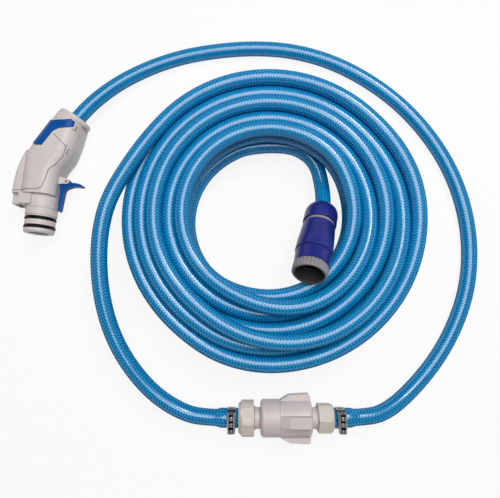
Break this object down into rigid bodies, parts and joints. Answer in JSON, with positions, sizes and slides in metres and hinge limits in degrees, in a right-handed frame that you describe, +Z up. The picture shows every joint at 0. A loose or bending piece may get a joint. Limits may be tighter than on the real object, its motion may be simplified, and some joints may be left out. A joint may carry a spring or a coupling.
{
  "type": "water hook-up hose",
  "caption": "Coiled blue braided water hose with a grey latching inlet connector, an in-line pressure regulator on union nuts and a navy screw-on tap connector.",
  "frame": {"origin": "middle of the coil's eye, on the floor", "axes": "+Z up, out of the coil's eye; +X along the regulator towards its outlet; +Y from the regulator towards the coil"},
  "size_m": [0.4662, 0.4118, 0.0823],
  "materials": {
    "beige": "fine moulded satin",
    "grip_blue": "satin moulded",
    "latch_blue": "satin moulded",
    "seal_black": "matte",
    "inner_white": "moulded",
    "steel": "rolled",
    "regulator_white": "slightly clear, moulded",
    "nut_cream": "moulded",
    "tap_navy": "satin moulded",
    "tap_grey": "moulded",
    "hose_blue": "glossy over a woven braid"
  },
  "bodies": {
    "hose_set": {"plug_upper_shell": "beige", "plug_lower_shell": "beige", "plug_collar": "beige", "plug_key_block": "beige", "plug_spigot": "beige", "plug_grip": "grip_blue", "plug_seals": "seal_black", "adaptor_seal": "seal_black", "union_washers": "seal_black", "tap_washer": "seal_black", "plug_hose_elbow": "inner_white", "valve_seat": "inner_white", "inlet_hose_tail": "inner_white", "outlet_hose_tail": "inner_white", "plug_hose_clip": "steel", "plug_screws": "steel", "latch_pin": "steel", "latch_spring": "steel", "piston_spring": "steel", "sleeve_spring": "steel", "clamp_band_inlet": "steel", "clamp_band_outlet": "steel", "inlet_strainer": "steel", "regulator_body": "regulator_white", "regulator_cap": "regulator_white", "tap_adaptor": "tap_navy", "connector_core": "tap_grey", "collet_ring": "tap_grey", "lock_claws": "tap_grey", "hose_feed": "hose_blue", "hose_lead_in": "hose_blue", "hose_coil": "hose_blue", "hose_lead_out": "hose_blue"},
    "latch": {"latch_lever": "latch_blue"},
    "inlet_nut": {"inlet_union_nut": "nut_cream"},
    "outlet_nut": {"outlet_union_nut": "nut_cream"},
    "inlet_worm": {"clamp_screw_inlet": "steel"},
    "outlet_worm": {"clamp_screw_outlet": "steel"},
    "piston": {"regulator_piston": "inner_white", "piston_seal": "seal_black"},
    "gland_nut": {"collet_nut": "tap_navy"},
    "sleeve": {"release_sleeve": "tap_navy"},
    "tap_ring": {"thread_ring": "tap_grey"}
  },
  "joints": [
    {"name": "latch_hinge", "type": "hinge", "parent": "hose_set", "child": "latch", "pos_m": [-0.2022, 0.03813, 0.019], "axis": [0, 0, 1], "range_deg": [0, 12], "stiffness_Nm_per_rad": 0.3, "springref_deg": -8.59},
    {"name": "inlet_nut_turn", "type": "hinge", "parent": "hose_set", "child": "inlet_nut", "pos_m": [-0.0208, -0.189, 0.022], "axis": [1, 0, 0], "continuous": true},
    {"name": "outlet_nut_turn", "type": "hinge", "parent": "hose_set", "child": "outlet_nut", "pos_m": [0.0512, -0.189, 0.022], "axis": [1, 0, 0], "continuous": true},
    {"name": "inlet_worm_turn", "type": "hinge", "parent": "hose_set", "child": "inlet_worm", "pos_m": [-0.03505, -0.189, 0.0354], "axis": [0, -1, 0], "continuous": true},
    {"name": "outlet_worm_turn", "type": "hinge", "parent": "hose_set", "child": "outlet_worm", "pos_m": [0.06545, -0.189, 0.0354], "axis": [0, -1, 0], "continuous": true},
    {"name": "piston_slide", "type": "slide", "parent": "hose_set", "child": "piston", "axis": [1, 0, 0], "range_m": [-0.0012, 0], "stiffness_N_per_m": 4000, "springref_m": 0.004, "deforming": ["piston_spring"]},
    {"name": "gland_nut_turn", "type": "hinge", "parent": "hose_set", "child": "gland_nut", "pos_m": [0.05007, -0.00149, 0.03669], "axis": [-0.2434, -0.8487, 0.4695], "continuous": true},
    {"name": "sleeve_slide", "type": "slide", "parent": "hose_set", "child": "sleeve", "axis": [-0.2434, -0.8487, 0.4695], "range_m": [-0.003, 0], "stiffness_N_per_m": 600, "springref_m": 0.004, "deforming": ["sleeve_spring"]},
    {"name": "tap_ring_turn", "type": "hinge", "parent": "hose_set", "child": "tap_ring", "pos_m": [0.03449, -0.05581, 0.06674], "axis": [-0.2434, -0.8487, 0.4695], "continuous": true}
  ]
}
